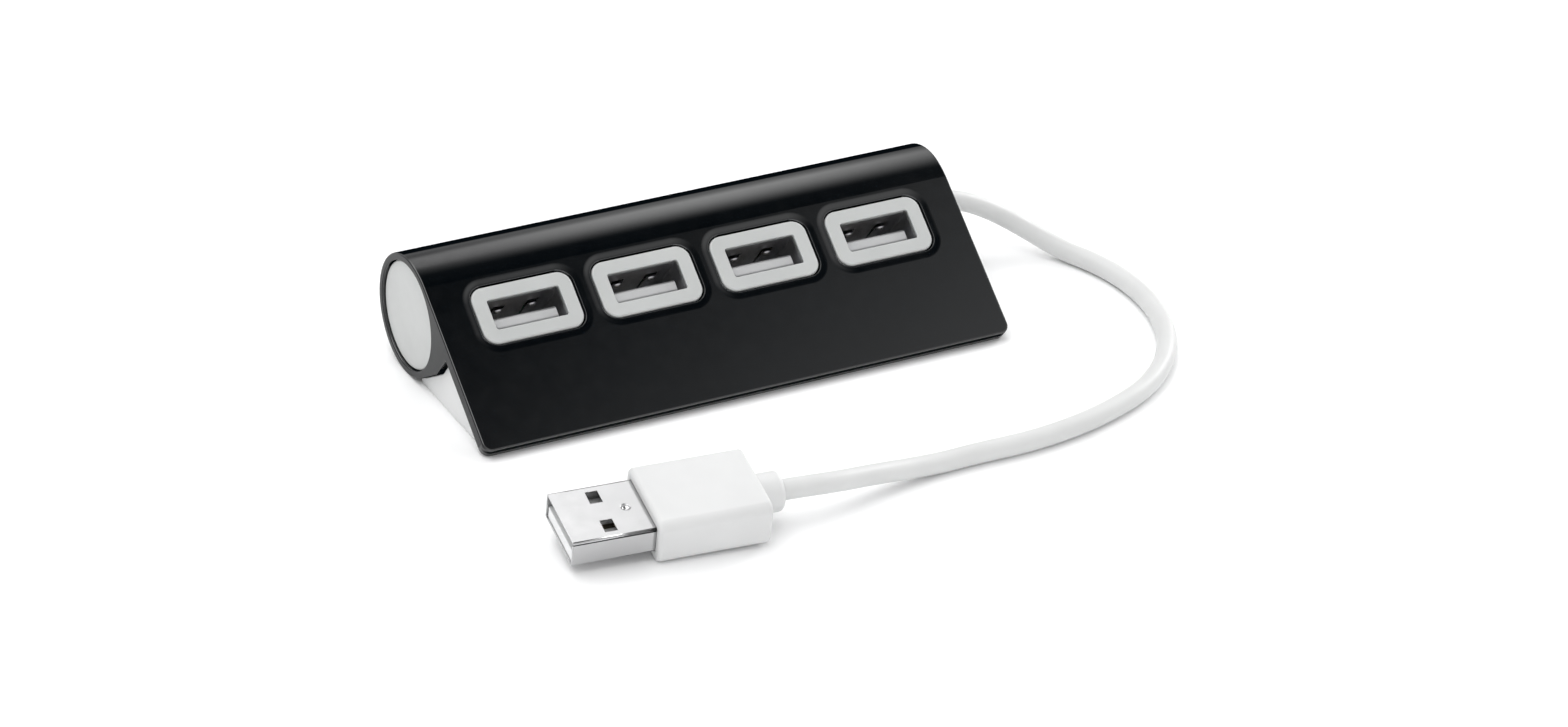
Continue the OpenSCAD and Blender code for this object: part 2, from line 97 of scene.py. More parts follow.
class Paint:
    """A principled material, with short ways to feed its inputs from procedural nodes."""

    def __init__(self, name, **inputs):
        self.material = bpy.data.materials.new(name)
        self.material.use_nodes = True
        self.tree = self.material.node_tree
        self.bsdf = self.tree.nodes["Principled BSDF"]
        self.set(self.bsdf, inputs)
        self.place = self.add("ShaderNodeTexCoord").outputs["Object"]

    def set(self, node, inputs):
        """Each input takes a number, a colour or another node's output; _ in its name stands for a space."""
        for name, value in inputs.items():
            feed(self.tree, node.inputs[name.replace("_", " ")], value)

    def add(self, kind, settings=None, **inputs):
        node = self.tree.nodes.new(kind)
        for name, value in (settings or {}).items():
            setattr(node, name, value)
        self.set(node, inputs)
        return node

    def noise(self, size, detail=3, stretch=(1, 1, 1), roughness=0.5):
        """Noise whose features are about size metres across, longer along an axis where stretch is large."""
        scale = [1 / (size * s) for s in stretch]
        mapping = self.add("ShaderNodeMapping", Vector=self.place, Scale=scale)
        noise = self.add(
            "ShaderNodeTexNoise", Vector=mapping.outputs[0], Scale=1.0, Detail=detail, Roughness=roughness
        )
        return noise.outputs["Fac"]

    def spread(self, value, low, high, start=0.3, end=0.7):
        """value's range from start to end, mapped to low to high."""
        node = self.add(
            "ShaderNodeMapRange", Value=value, From_Min=start, From_Max=end, To_Min=low, To_Max=high
        )
        return node.outputs[0]

    def shade(self, value, dark, light, start=0.3, end=0.7):
        """A colour from dark to light as value goes from start to end."""
        ramp = self.add("ShaderNodeValToRGB", Fac=value)
        for element, place, colour in zip(ramp.color_ramp.elements, (start, end), (dark, light)):
            element.position = place
            element.color = (*colour, 1)
        return ramp.outputs["Color"]

    def mix(self, kind, share, first, second):
        """first, blended into second by share; kind is FLOAT or RGBA."""
        node = self.add("ShaderNodeMix", {"data_type": kind})
        sockets = [s for s in node.inputs if s.enabled]
        for socket, value in zip(sockets, (share, first, second)):
            feed(self.tree, socket, value)
        return next(s for s in node.outputs if s.enabled)

    def colour(self, value, dark, light, **span):
        self.set(self.bsdf, {"Base Color": self.shade(value, dark, light, **span)})

    def roughness(self, value, low, high):
        self.set(self.bsdf, {"Roughness": self.spread(value, low, high)})

    def bump(self, *layers):
        """Bumps, one on another: each layer is (value, depth in metres)."""
        normal = None
        for value, depth in layers:
            node = self.add("ShaderNodeBump", Height=value, Distance=depth, Strength=1.0)
            if normal is not None:
                self.set(node, {"Normal": normal})
            normal = node.outputs["Normal"]
        self.set(self.bsdf, {"Normal": normal})

    def corners(self, start=0.52, end=0.6):
        """0 on flat stretches and 1 on outer corners, where things wear."""
        point = self.add("ShaderNodeNewGeometry").outputs["Pointiness"]
        return self.spread(point, 0.0, 1.0, start, end)


def tinted(colour, share):
    return [channel * share for channel in colour]


def plastic(name, colour, rough, grain=0.12 * MM, depth=0.002 * MM, variation=0.04, **inputs):
    """Moulded plastic: faint colour drift, a fine mould texture and a few shallow sink waves."""
    paint = Paint(name, **inputs)
    drift = paint.noise(9 * MM, detail=2)
    texture = paint.noise(grain, detail=2)
    waves = paint.noise(5 * MM, detail=1)
    paint.colour(drift, tinted(colour, 1 - variation), tinted(colour, 1 + variation / 2))
    paint.roughness(paint.noise(1.5 * MM), rough - 0.05, rough + 0.06)
    paint.bump((waves, 0.01 * MM), (texture, depth))
    return paint


def metal(name, colour, rough, grain_along=(1, 1, 1), depth=0.0008 * MM):
    """Plated metal: drawing lines along the stretched axis, and cloudy tarnish."""
    paint = Paint(name, Metallic=1.0)
    clouds = paint.noise(3 * MM, detail=4)
    lines = paint.noise(0.06 * MM, detail=2, stretch=grain_along)
    paint.colour(clouds, tinted(colour, 0.95), colour)
    paint.roughness(clouds, rough + 0.04, rough)
    paint.bump((lines, depth))
    return paint


WORN_SHARE = 0.12
CUT_FACE_SHINE = 0.2


def anodised_black():
    """Black anodised extrusion, with die lines along its length and a trace of wear on its corners.

    The skin's shine fades towards grazing views. The cut faces at its ends keep a little of it in any view.
    """
    paint = Paint("anodised_black")
    facing = paint.add("ShaderNodeLayerWeight", Blend=0.5).outputs["Facing"]
    skin_shine = paint.spread(facing, 1.0, 0.0, 0.50, 0.68)
    normal = paint.add("ShaderNodeTexCoord").outputs["Normal"]
    along = paint.add("ShaderNodeSeparateXYZ", Vector=normal).outputs["X"]
    endwise = paint.add("ShaderNodeMath", {"operation": "ABSOLUTE"}, Value=along).outputs[0]
    cut_face = paint.spread(endwise, 0.0, 1.0, 0.5, 0.9)
    shine = paint.mix("FLOAT", cut_face, skin_shine, CUT_FACE_SHINE)
    paint.set(paint.bsdf, {"Specular IOR Level": shine})

    cloud = paint.noise(14 * MM, detail=2)
    dye = paint.shade(cloud, (0.0004, 0.0012, 0.0020), (0.0008, 0.0018, 0.0028))
    wear = paint.spread(paint.corners(), 0.0, WORN_SHARE, 0, 1)
    paint.set(paint.bsdf, {"Base Color": paint.mix("RGBA", wear, dye, (0.10, 0.11, 0.115, 1))})

    die_lines = paint.noise(0.25 * MM, detail=2, stretch=(120, 1, 1))
    etch = paint.noise(0.05 * MM, detail=2)
    paint.roughness(paint.noise(2.5 * MM, detail=4), 0.11, 0.14)
    paint.bump((die_lines, 0.0005 * MM), (etch, 0.00025 * MM))
    return paint


def circuit_board():
    """Solder mask, with slightly raised copper tracks under it."""
    paint = Paint("solder_mask", Roughness=0.3, Coat_Weight=0.4)
    tracks = paint.noise(1.3 * MM, detail=0, stretch=(6, 1, 1))
    paint.colour(tracks, (0.012, 0.10, 0.045), (0.03, 0.20, 0.085), start=0.47, end=0.5)
    paint.bump((paint.spread(tracks, 0, 1, 0.46, 0.5), 0.03 * MM))
    return paint


LONG_X = (60, 1, 1)
WHITE = (0.50, 0.512, 0.507)
SOFT = {"Subsurface_Weight": 0.12, "Subsurface_Radius": (1, 1, 1), "Subsurface_Scale": 0.6 * MM}

paints = {
    "body": anodised_black(),
    "cap": plastic("cap_plastic", (0.515, 0.525, 0.52), 0.48, depth=0.003 * MM),
    "white_plastic": plastic("bezel_plastic", WHITE, 0.34, depth=0.001 * MM, **SOFT),
    "base_plastic": plastic("base_plastic", (0.70, 0.705, 0.705), 0.42, **SOFT),
    "screw_steel": metal("screw_steel", (0.10, 0.10, 0.105), 0.38),
    "board": circuit_board(),
    "chip": plastic("chip_epoxy", (0.018, 0.018, 0.02), 0.55, grain=0.08 * MM, depth=0.004 * MM),
    "capacitor": plastic("capacitor_ceramic", (0.50, 0.38, 0.22), 0.45, variation=0.15),
    "crystal_can": metal("crystal_can", (0.62, 0.62, 0.63), 0.2, grain_along=LONG_X),
    "port_steel": metal("port_nickel", (0.60, 0.60, 0.62), 0.3, grain_along=LONG_X),
    "tongue": plastic("tongue_plastic", (0.56, 0.565, 0.57), 0.42, **SOFT),
    "contact": metal("contact_gold", (0.62, 0.55, 0.42), 0.22, grain_along=(1, 1, 60)),
    "grommet": plastic("grommet_rubber", (0.56, 0.57, 0.57), 0.5, depth=0.004 * MM, **SOFT),
    "jacket": plastic("cable_jacket", (0.65, 0.655, 0.652), 0.4, grain=0.3 * MM, depth=0.003 * MM, **SOFT),
    "overmould": plastic("overmould_rubber", (0.68, 0.684, 0.684), 0.46, depth=0.004 * MM, **SOFT),
    "plug_steel": metal("plug_nickel", (0.53, 0.53, 0.535), 0.16, grain_along=LONG_X),
    # painted light: the plug's core is the tongues' white plastic, painted much brighter so the inside of the
    # plug's mouth reads as lit
    "plug_block_painted_bright": plastic("plug_block_painted_bright", (0.80, 0.805, 0.81), 0.4, **SOFT),
    "wire_red": plastic("wire_red", (0.42, 0.012, 0.012), 0.32),
    "wire_white": plastic("wire_white", (0.74, 0.74, 0.72), 0.32),
    "wire_green": plastic("wire_green", (0.02, 0.24, 0.05), 0.32),
    "wire_black": plastic("wire_black", (0.012, 0.012, 0.013), 0.32),
}

# ---- mesh tools ----

# A face is square to an axis when its unit normal goes at least this far along it.
FLAT = 0.9999


def cad_shape(node, local=Matrix.Identity(4)):
    """A CAD node's shape with its vertices joined and its flat faces merged, in local's axes."""
    bm = bmesh.new()
    bm.from_mesh(frame["nodes"][node].data)
    bm.transform(local.inverted())
    bmesh.ops.remove_doubles(bm, verts=bm.verts[:], dist=0.002 * MM)
    bmesh.ops.dissolve_limit(bm, angle_limit=radians(0.5), verts=bm.verts[:], edges=bm.edges[:])
    return bm


def sharp_edges(bm, test=lambda edge: True, limit=radians(32)):
    """Edges whose faces meet at more than limit, and that pass the test."""
    return [e for e in bm.edges if len(e.link_faces) == 2 and e.calc_face_angle() > limit and test(e)]


def both(edge, test):
    return all(test(v.co) for v in edge.verts)


def near(value, target, slack=0.01 * MM):
    return abs(value - target) < slack


def near_end(point, depth=0.01 * MM):
    """Whether a point is within depth of either end of the hub."""
    return abs(point.x) > HALF_LEN - depth


def circle(sides):
    """The angles of points spaced evenly round a circle."""
    return [2 * pi * k / sides for k in range(sides)]


def round_edges(bm, edges, width, segments=3):
    bmesh.ops.bevel(
        bm, geom=edges, offset=width, offset_type="OFFSET", segments=segments, profile=0.5,
        affect="EDGES", clamp_overlap=False, loop_slide=True,
    )


def calm_flats(bm, test, width=0.05 * MM):
    """Adds a narrow rim of faces inside a flat stretch, so that the edges beside it don't shade it."""
    flats = [f for f in bm.faces if test(f)]
    bmesh.ops.inset_region(bm, faces=flats, thickness=width, use_even_offset=True, use_boundary=True)


def add_object(name, bm, local=Matrix.Identity(4)):
    """A smooth-shaded object with bm's shape, taken from local's axes to the frame's."""
    bmesh.ops.recalc_face_normals(bm, faces=bm.faces[:])
    bm.transform(local)
    bm.verts.index_update()
    mesh = bpy.data.meshes.new(name)
    mesh.from_pydata([v.co for v in bm.verts], [], [[v.index for v in f.verts] for f in bm.faces])
    mesh.shade_smooth()
    bm.free()
    obj = bpy.data.objects.new(name, mesh)
    scene.collection.objects.link(obj)
    return obj


def dress(obj, slot, material=None):
    obj.data.materials.append(paints[material or slot].material)
    return obj


def add_piece(name, bm, body, slot, replaced, local=Matrix.Identity(4), material=None):
    """A finished rigid piece that rides on a body and stands for CAD nodes."""
    obj = dress(add_object(name, bm, local), slot, material)
    normals = obj.modifiers.new("even shading", "WEIGHTED_NORMAL")
    normals.mode = "FACE_AREA"
    normals.keep_sharp = False
    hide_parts(*replaced)
    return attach(obj, body)


def add_rings(bm, rings, closed=False):
    """A skin through rings of points: it has flat ends, or if closed its last ring joins its first."""
    rows = [[bm.verts.new(p) for p in ring] for ring in rings]
    count = len(rows[0])
    for low, high in zip(rows, rows[1:] + (rows[:1] if closed else [])):
        for k in range(count):
            bm.faces.new((low[k], low[(k + 1) % count], high[(k + 1) % count], high[k]))
    if not closed:
        bm.faces.new(rows[0][::-1])
        bm.faces.new(rows[-1])


def add_dome(bm, centre, size, height, rings=5, sides=20):
    """A closed flattened dome on a plane square to Y; a negative height hangs down."""
    slopes = [k * pi / 2 / rings for k in range(rings)]
    foot, top = (1.0, -0.2), (0.12, 1.0)
    rows = [foot] + [(cos(t), sin(t)) for t in slopes] + [top]
    add_rings(bm, [
        [centre + Vector((size.x * r * cos(a), height * h, size.y * r * sin(a))) for a in circle(sides)]
        for r, h in rows
    ])


# ---- the body ----

DIP_WIDTH = 1.3 * MM
DIP_DEPTH = 0.06 * MM
DIP_STEPS = 10
WINDOW_CORNER_R = 2.55 * MM
PLATE_EDGE_R = 0.25 * MM
# The plate's lower edge and its round corners reach this far up the face.
LOWER_REACH = 1.65 * MM
MOULDED_EDGE_R = 0.1 * MM


def boundary_loops(bm):
    """The open edges of a mesh as lists of vertices in order."""
    following = {}
    for edge in bm.edges:
        if len(edge.link_faces) == 1:
            loop = edge.link_loops[0]
            following[loop.vert] = loop.link_loop_next.vert
    loops = []
    while following:
        start, vert = following.popitem()
        loop = [start]
        while vert is not start:
            loop.append(vert)
            vert = following.pop(vert)
        loops.append(loop)
    return loops


def outward(point, centre, half, r):
    """The direction away from a rounded rectangle's outline at a point on it."""
    x, y = point.x - centre.x, point.y - centre.y
    qx, qy = abs(x) - (half.x - r), abs(y) - (half.y - r)
    side = Vector((max(qx, 0), max(qy, 0)))
    if side.length == 0:
        side = Vector((1, 0)) if qx > qy else Vector((0, 1))
    side.normalize()
    return Vector((side.x if x > 0 else -side.x, side.y if y > 0 else -side.y, 0))


def roll_window(bm, rim):
    """Rolls the face's skin down into a window. Returns the ring of vertices where the flat face begins."""
    low = Vector((min(v.co.x for v in rim), min(v.co.y for v in rim)))
    high = Vector((max(v.co.x for v in rim), max(v.co.y for v in rim)))
    centre, half = (low + high) / 2, (high - low) / 2
    away = [outward(v.co, centre, half, WINDOW_CORNER_R) for v in rim]
    rows = [rim]
    flat = [v.co.copy() for v in rim]
    for k in range(1, DIP_STEPS + 1):
        t = k / DIP_STEPS
        drop = Vector((0, 0, -DIP_DEPTH * (1 + cos(pi * t)) / 2))
        rows.append([bm.verts.new(p + a * DIP_WIDTH * t + drop) for p, a in zip(flat, away)])
    for v in rim:
        v.co.z -= DIP_DEPTH
    count = len(rim)
    for inner, outer in zip(rows, rows[1:]):
        for k in range(count):
            n = (k + 1) % count
            bm.faces.new((inner[n], inner[k], outer[k], outer[n]))
    return rows[-1]


def is_port_face(face):
    """Whether a face is part of the flat skin round the port windows."""
    return face.normal.z > FLAT and all(near(v.co.z, 0) and v.co.y < 0.1 * MM for v in face.verts)


def dish_face(bm):
    """Makes the flat skin anew, with a shallow dished surround at each window."""
    bmesh.ops.delete(bm, geom=[f for f in bm.faces if is_port_face(f)], context="FACES")
    rims = []
    for loop in boundary_loops(bm):
        width = max(v.co.x for v in loop) - min(v.co.x for v in loop)
        rims.append(loop if width > HALF_LEN else roll_window(bm, loop))
    edges = [bm.edges.get(pair) for rim in rims for pair in zip(rim, rim[1:] + rim[:1])]
    filled = bmesh.ops.triangle_fill(bm, use_beauty=True, edges=edges, normal=(0, 0, 1))["geom"]
    flat_edges = [g for g in filled if isinstance(g, bmesh.types.BMEdge)]
    flat_verts = list({v for e in flat_edges for v in e.verts})
    bmesh.ops.dissolve_limit(bm, angle_limit=radians(0.5), verts=flat_verts, edges=flat_edges)
    bmesh.ops.recalc_face_normals(bm, faces=bm.faces[:])


def build_body():
    bm = cad_shape("body_extrusion", ON_FACE)
    dish_face(bm)
    bottom = min(v.co.y for v in bm.verts if near(v.co.z, 0))

    def is_lower(p):
        return near(p.z, 0) and p.y < bottom + LOWER_REACH

    outline = sharp_edges(bm, lambda e: both(e, near_end) or both(e, is_lower))
    round_edges(bm, outline, PLATE_EDGE_R, 4)
    # where the bevels meet at the lower corners, they leave vertices on one another
    bmesh.ops.remove_doubles(bm, verts=bm.verts[:], dist=0.001 * MM)
    calm_flats(bm, lambda f: f.normal.z > FLAT and all(near(v.co.z, 0) for v in f.verts))
    add_piece("extruded_body", bm, "hub", "body", ["body_extrusion"], ON_FACE)


def build_caps():
    def is_disc(face):
        return abs(face.normal.x) > FLAT and near_end(face.calc_center_median(), 1 * MM)

    for side in ("left", "right"):
        bm = cad_shape(f"{side}_end_cap")
        round_edges(bm, sharp_edges(bm), MOULDED_EDGE_R)
        calm_flats(bm, is_disc)
        add_piece(f"{side}_cap_disc", bm, "hub", "cap", [f"{side}_end_cap"])


BASE_END_DEPTH = 1.3 * MM
BASE_END_AREA = 4 * MM * MM


def build_base():
    """The base cover: its end faces have rounded edges, except on the desk."""
    def is_end(p):
        return near_end(p, BASE_END_DEPTH)

    def on_desk(p):
        return near(p.z, 0)

    bm = cad_shape("base_cover")
    ends = sharp_edges(bm, lambda e: both(e, is_end) and not both(e, on_desk))
    round_edges(bm, ends, MOULDED_EDGE_R)
    calm_flats(bm, lambda f: abs(f.normal.x) > FLAT and f.calc_area() > BASE_END_AREA)
    add_piece("base_moulding", bm, "hub", "white_plastic", ["base_cover"], material="base_plastic")


# ---- the ports ----

# Half the size of a box that lies between a bezel's inner and outer outlines.
MID_BEZEL = Vector((7, 3.5)) * MM
INNER_BEZEL_R = 0.13 * MM
OUTER_BEZEL_R = 0.38 * MM


def build_bezels():
    bm = cad_shape("port_frame", ON_FACE)
    inner = []
    outer = []
    for edge in sharp_edges(bm, lambda e: both(e, lambda p: near(p.z, 0))):
        middle = (edge.verts[0].co + edge.verts[1].co) / 2
        offset = min((middle - c for c in port_centres.values()), key=lambda d: abs(d.x))
        is_outer = abs(offset.x) > MID_BEZEL.x or abs(offset.y) > MID_BEZEL.y
        (outer if is_outer else inner).append(edge)
    outer_pairs = [tuple(e.verts) for e in outer]
    round_edges(bm, inner, INNER_BEZEL_R)
    round_edges(bm, [bm.edges.get(pair) for pair in outer_pairs], OUTER_BEZEL_R, 5)
    add_piece("port_bezels", bm, "hub", "white_plastic", ["port_frame"], ON_FACE)


STEEL_EDGE_R = 0.07 * MM
TONGUE_EDGE_R = 0.28 * MM
SPRING_X = 3 * MM
SPRING_TIP = 3.75 * MM
SPRING_REACH = 2.2 * MM
PIP_SIZE = Vector((0.7, 0.55)) * MM
PIP_HEIGHT = 0.4 * MM


def build_port(i):
    """A port's steel shell, with a pip at the tip of each spring finger, and its tongue."""
    centre = port_centres[i]
    shell = cad_shape(f"port_{i}_shell", ON_FACE)
    front = max(v.co.z for v in shell.verts)
    round_edges(shell, sharp_edges(shell, lambda e: both(e, lambda p: near(p.z, front))), STEEL_EDGE_R)
    for x in (-SPRING_X, SPRING_X):
        for side in (-1, 1):
            tip = centre + Vector((x, side * SPRING_REACH, -SPRING_TIP))
            add_dome(shell, tip, PIP_SIZE, -side * PIP_HEIGHT)
    add_piece(f"port_{i}_steel_shell", shell, "hub", "port_steel", [f"port_{i}_shell"], ON_FACE)

    tongue = cad_shape(f"port_{i}_insulator", ON_FACE)
    tip_z = max(v.co.z for v in tongue.verts)
    tip_edges = sharp_edges(tongue, lambda e: both(e, lambda p: near(p.z, tip_z)))
    round_edges(tongue, tip_edges, TONGUE_EDGE_R, 4)
    add_piece(f"port_{i}_tongue", tongue, "hub", "tongue", [f"port_{i}_insulator"], ON_FACE)


# ---- the plug ----

STOP_X = 10.4 * MM
CORE_EDGE_R = 0.12 * MM


def build_plug():
    shell = cad_shape("plug_shell", ON_PLUG)
    round_edges(shell, sharp_edges(shell, lambda e: both(e, lambda p: near(p.x, 0))), STEEL_EDGE_R)
    top = max(v.co.z for v in shell.verts)
    near_side = min(v.co.y for v in shell.verts)
    calm_flats(shell, lambda f: f.normal.z > FLAT and all(near(v.co.z, top) for v in f.verts))
    calm_flats(shell, lambda f: f.normal.y < -FLAT and all(near(v.co.y, near_side) for v in f.verts))
    add_stop_dimple(shell, Vector((STOP_X, 0, top)))
    add_piece("plug_steel_shell", shell, "plug", "plug_steel", ["plug_shell"], ON_PLUG)

    build_moulding()

    core = cad_shape("plug_insulator", ON_PLUG)
    mouth_edges = sharp_edges(core, lambda e: both(e, lambda p: p.x < 0.5 * MM))
    round_edges(core, mouth_edges, CORE_EDGE_R)
    # the core gets a painted-bright copy of the tongues' plastic, which stands in for light falling into the
    # plug's mouth
    add_piece("plug_core", core, "plug", "tongue", ["plug_insulator"], ON_PLUG, material="plug_block_painted_bright")


def add_stop_dimple(bm, top):
    """The pressed bowl that fills the shell's stop hole: a thin dish below the top face.

    Its outline, as (radius, height) in millimetres, goes out along the underside and back over the dish.
    """
    under = [(0.03, -0.6), (0.3, -0.58), (0.6, -0.48), (0.84, -0.32), (0.88, -0.2)]
    dish = [(0.88, -0.1), (0.8, -0.1), (0.7, -0.24), (0.5, -0.38), (0.25, -0.46), (0.03, -0.48)]
    add_rings(bm, [
        [top + Vector((r * MM * cos(a), r * MM * sin(a), z * MM)) for a in circle(24)]
        for r, z in under + dish
    ])


QUARTER_STEPS = 10


def rounded_ring(x, half_y, half_z, r):
    """Points round a rounded rectangle square to X, with the same number for any size; all in metres."""
    points = []
    for quarter, (sy, sz) in enumerate([(1, 1), (-1, 1), (-1, -1), (1, -1)]):
        for k in range(QUARTER_STEPS):
            a = (quarter + (k + 0.5) / QUARTER_STEPS) * pi / 2
            points.append(Vector((x, sy * (half_y - r) + r * cos(a), sz * (half_z - r) + r * sin(a))))
    return points


def build_moulding():
    """The soft moulding on the plug: a rounded block with a round strain relief, hollow like the CAD's."""
    cad = cad_shape("plug_overmould", ON_PLUG)
    front = min(v.co.x for v in cad.verts)
    relief_end = max(v.co.x for v in cad.verts)
    half_y = max(v.co.y for v in cad.verts)
    half_z = max(v.co.z for v in cad.verts)
    cad.free()

    # the outside: the block, then the strain relief
    back = relief_end - 4 * MM
    corner_r = 1.7 * MM
    front_r, back_r, relief_edge_r = 0.7 * MM, 0.62 * MM, 0.9 * MM
    relief_r, relief_foot = 3.15 * MM, 0.1 * MM
    # the inside: the mouth round the steel shell, the room for the hard core, and the cable's hole
    mouth, mouth_r = Vector((6.05, 2.3)) * MM, 0.4 * MM
    lip = Vector((0.15, 0.15)) * MM
    room, room_r = Vector((6.45, 2.9)) * MM, 0.8 * MM
    room_x0, room_x1 = front + 1 * MM, back - 2.8 * MM
    cable_hole_r = 1.7 * MM
    turns = [k / 6 * pi / 2 for k in range(7)]

    def block_ring(x, inset):
        return rounded_ring(x, half_y - inset, half_z - inset, corner_r - inset)

    def round_ring(x, r):
        return rounded_ring(x, r, r, r)

    rings = [rounded_ring(room_x0, *mouth, mouth_r), rounded_ring(front + lip.x, *mouth, mouth_r)]
    rings += [rounded_ring(front, *(mouth + lip), mouth_r + lip.x)]
    rings += [block_ring(front + front_r * (1 - cos(a)), front_r * (1 - sin(a))) for a in turns]
    rings += [block_ring(back - back_r * (1 - sin(a)), back_r * (1 - cos(a))) for a in turns]
    rings += [round_ring(back, relief_r + relief_foot), round_ring(back + relief_foot, relief_r)]
    rings += [
        round_ring(relief_end - relief_edge_r * (1 - sin(a)), relief_r - relief_edge_r * (1 - cos(a)))
        for a in turns
    ]
    rings += [round_ring(relief_end, cable_hole_r), round_ring(room_x1, cable_hole_r)]
    rings += [rounded_ring(room_x1, *room, room_r), rounded_ring(room_x0, *room, room_r)]
    bm = bmesh.new()
    add_rings(bm, rings, closed=True)
    add_piece("plug_moulding", bm, "plug", "overmould", ["plug_overmould"], ON_PLUG)


# ---- the cable: one jacket, in pieces ----

# Places along the cable are in millimetres from the hub's hinge, and radii are in metres.
CABLE_R = 1.65 * MM
CABLE_SIDES = 28
WIRES_R = 1.25 * MM
WIRES_DEPTH = 2.5
# The cable's path in plan: stretches as (length, turn in degrees).
ARCS = [(1.5, 0), (4.5, -10), (13, -38), (15, -30), (42, -79), (27.5, -25), (27.5, 12), (12, -17)]
CABLE_LEN = round(sum(length for length, turn in ARCS))
DROP_LEN = 26
RISE_LEN = 31
CUT_AT = [-8.4, 12, 38, 64, 92, 125, CABLE_LEN + 14.8]
# The length, in millimetres, of the chord along the centre line that sets each ring's direction.
CHORD = 1.2


def heading(s):
    """The cable's direction in plan, in radians, at s millimetres from the hub's hinge."""
    turned = 0
    for length, turn in ARCS:
        if s < length:
            return radians(turned + turn * s / length)
        turned += turn
        s -= length
    return radians(turned)


def ease(t):
    k = max(0, min(1, t))
    return k * k * (3 - 2 * k)


def cable_points():
    """The centre line, one point for each millimetre from the hub's hinge to the plug's."""
    start = hinges["cable_exit_swing"]
    x, y = start.x, start.y
    points = []
    for i in range(CABLE_LEN + 1):
        fall = (TUBE_R - CABLE_R) * (1 - ease(i / DROP_LEN))
        rise = (plug_end.z - CABLE_R) * ease((i - CABLE_LEN + RISE_LEN) / RISE_LEN)
        points.append(Vector((x, y, CABLE_R + fall + rise)))
        x += MM * cos(heading(i + 0.5))
        y += MM * sin(heading(i + 0.5))
    return points


cable_line = cable_points()
plug_axis = (ON_PLUG.to_3x3() @ Vector((-1, 0, 0))).normalized()


def cable_at(s):
    """The centre line's point at s millimetres, straight on before the first hinge and after the last."""
    if s <= 0:
        return cable_line[0] + Vector((s * MM, 0, 0))
    if s >= CABLE_LEN:
        return cable_line[-1] + plug_axis * (s - CABLE_LEN) * MM
    i = int(s)
    return cable_line[i].lerp(cable_line[min(i + 1, CABLE_LEN)], s - i)


def cable_ring(s, r=CABLE_R):
    """Points round the cable at s, square to a chord of the centre line there."""
    direction = (cable_at(s + CHORD / 2) - cable_at(s - CHORD / 2)).normalized()
    side = Vector((-direction.y, direction.x, 0)).normalized()
    up = direction.cross(side)
    return [cable_at(s) + r * (cos(a) * side + sin(a) * up) for a in circle(CABLE_SIDES)]


def build_cable():
    """The jacket's pieces: the first begins inside the hub, the last ends in the plug."""
    replaced = [["cable_hub_end"]] + [[f"cable_section_{i}"] for i in (1, 2, 3, 4)]
    replaced += [["cable_section_5", "cable_plug_end"]]
    for k, (s0, s1) in enumerate(zip(CUT_AT, CUT_AT[1:])):
        inside = [s for s in range(int(s0) - 1, int(s1) + 2) if s0 < s < s1]
        rings = [cable_ring(s) for s in [s0, *inside, s1]]
        if k == 0:
            # the stripped end is hollow where the wires leave it
            rings = [cable_ring(s0 + WIRES_DEPTH, WIRES_R), cable_ring(s0, WIRES_R)] + rings
        bm = bmesh.new()
        add_rings(bm, rings)
        obj = dress(add_object(f"cable_jacket_{k + 1}", bm), "jacket")
        for polygon in obj.data.polygons:
            polygon.use_smooth = len(polygon.vertices) == 4
        obj.data.set_sharp_from_angle(angle=radians(60))
        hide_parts(*replaced[k])
        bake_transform(obj)


GROMMET_EDGE_R = 0.14 * MM


def build_grommet():
    bm = cad_shape("cable_grommet")
    round_edges(bm, sharp_edges(bm), GROMMET_EDGE_R)
    add_piece("exit_grommet", bm, "hub", "grommet", ["cable_grommet"])


# ---- CAD pieces that keep their shape ----


def dress_cad_nodes():
    for part in frame["record"]["subparts"]:
        mesh = frame["nodes"][part["node"]].data
        mesh.materials.clear()
        mesh.materials.append(paints[part["material_slot"]].material)


# ---- studio ----

FLOOR_R = 3.0
FLOOR_DROP = 0.02 * MM


def build_floor():
    """A pale round table top, large enough to fill every view."""
    bm = bmesh.new()
    bmesh.ops.create_circle(bm, cap_ends=True, segments=96, radius=FLOOR_R)
    floor = add_object("floor", bm, Matrix.Translation((0, 0, -FLOOR_DROP)))
    paint = Paint("table_white", Roughness=0.9, Specular_IOR_Level=0.1)
    paint.colour(paint.noise(0.2, detail=2), (0.955, 0.957, 0.96), (0.965, 0.967, 0.97))
    floor.data.materials.append(paint.material)


class Sky:
    """World nodes that work on the direction a ray goes."""

    def __init__(self, world):
        self.tree = world.node_tree
        direction = self.tree.nodes.new("ShaderNodeTexCoord").outputs["Generated"]
        split = self.tree.nodes.new("ShaderNodeSeparateXYZ")
        self.tree.links.new(direction, split.inputs[0])
        self.x, self.y, self.z = split.outputs

    def ramp(self, value, start, end, low=0.0, high=1.0):
        """Smooth from low at start to high at end."""
        node = self.tree.nodes.new("ShaderNodeMapRange")
        node.interpolation_type = "SMOOTHSTEP"
        self.tree.links.new(value, node.inputs["Value"])
        for name, number in (("From Min", start), ("From Max", end), ("To Min", low), ("To Max", high)):
            node.inputs[name].default_value = number
        return node.outputs[0]

    def box(self, x_rise, x_fall, y_rise, y_fall, right_x=None):
        """1 inside a soft-edged box of directions, and 0 outside it.

        Each edge is (start, end) of its fade. right_x, if given, is read in place of x at the right edge.
        """
        sides = [self.ramp(self.x, *x_rise), self.ramp(right_x or self.x, *x_fall, 1, 0)]
        sides += [self.ramp(self.y, *y_rise), self.ramp(self.y, *y_fall, 1, 0)]
        product = sides[0]
        for side in sides[1:]:
            product = self.math("MULTIPLY", product, side)
        return product

    def math(self, operation, a, b):
        node = self.tree.nodes.new("ShaderNodeMath")
        node.operation = operation
        for socket, value in zip(node.inputs, (a, b)):
            feed(self.tree, socket, value)
        return node.outputs[0]


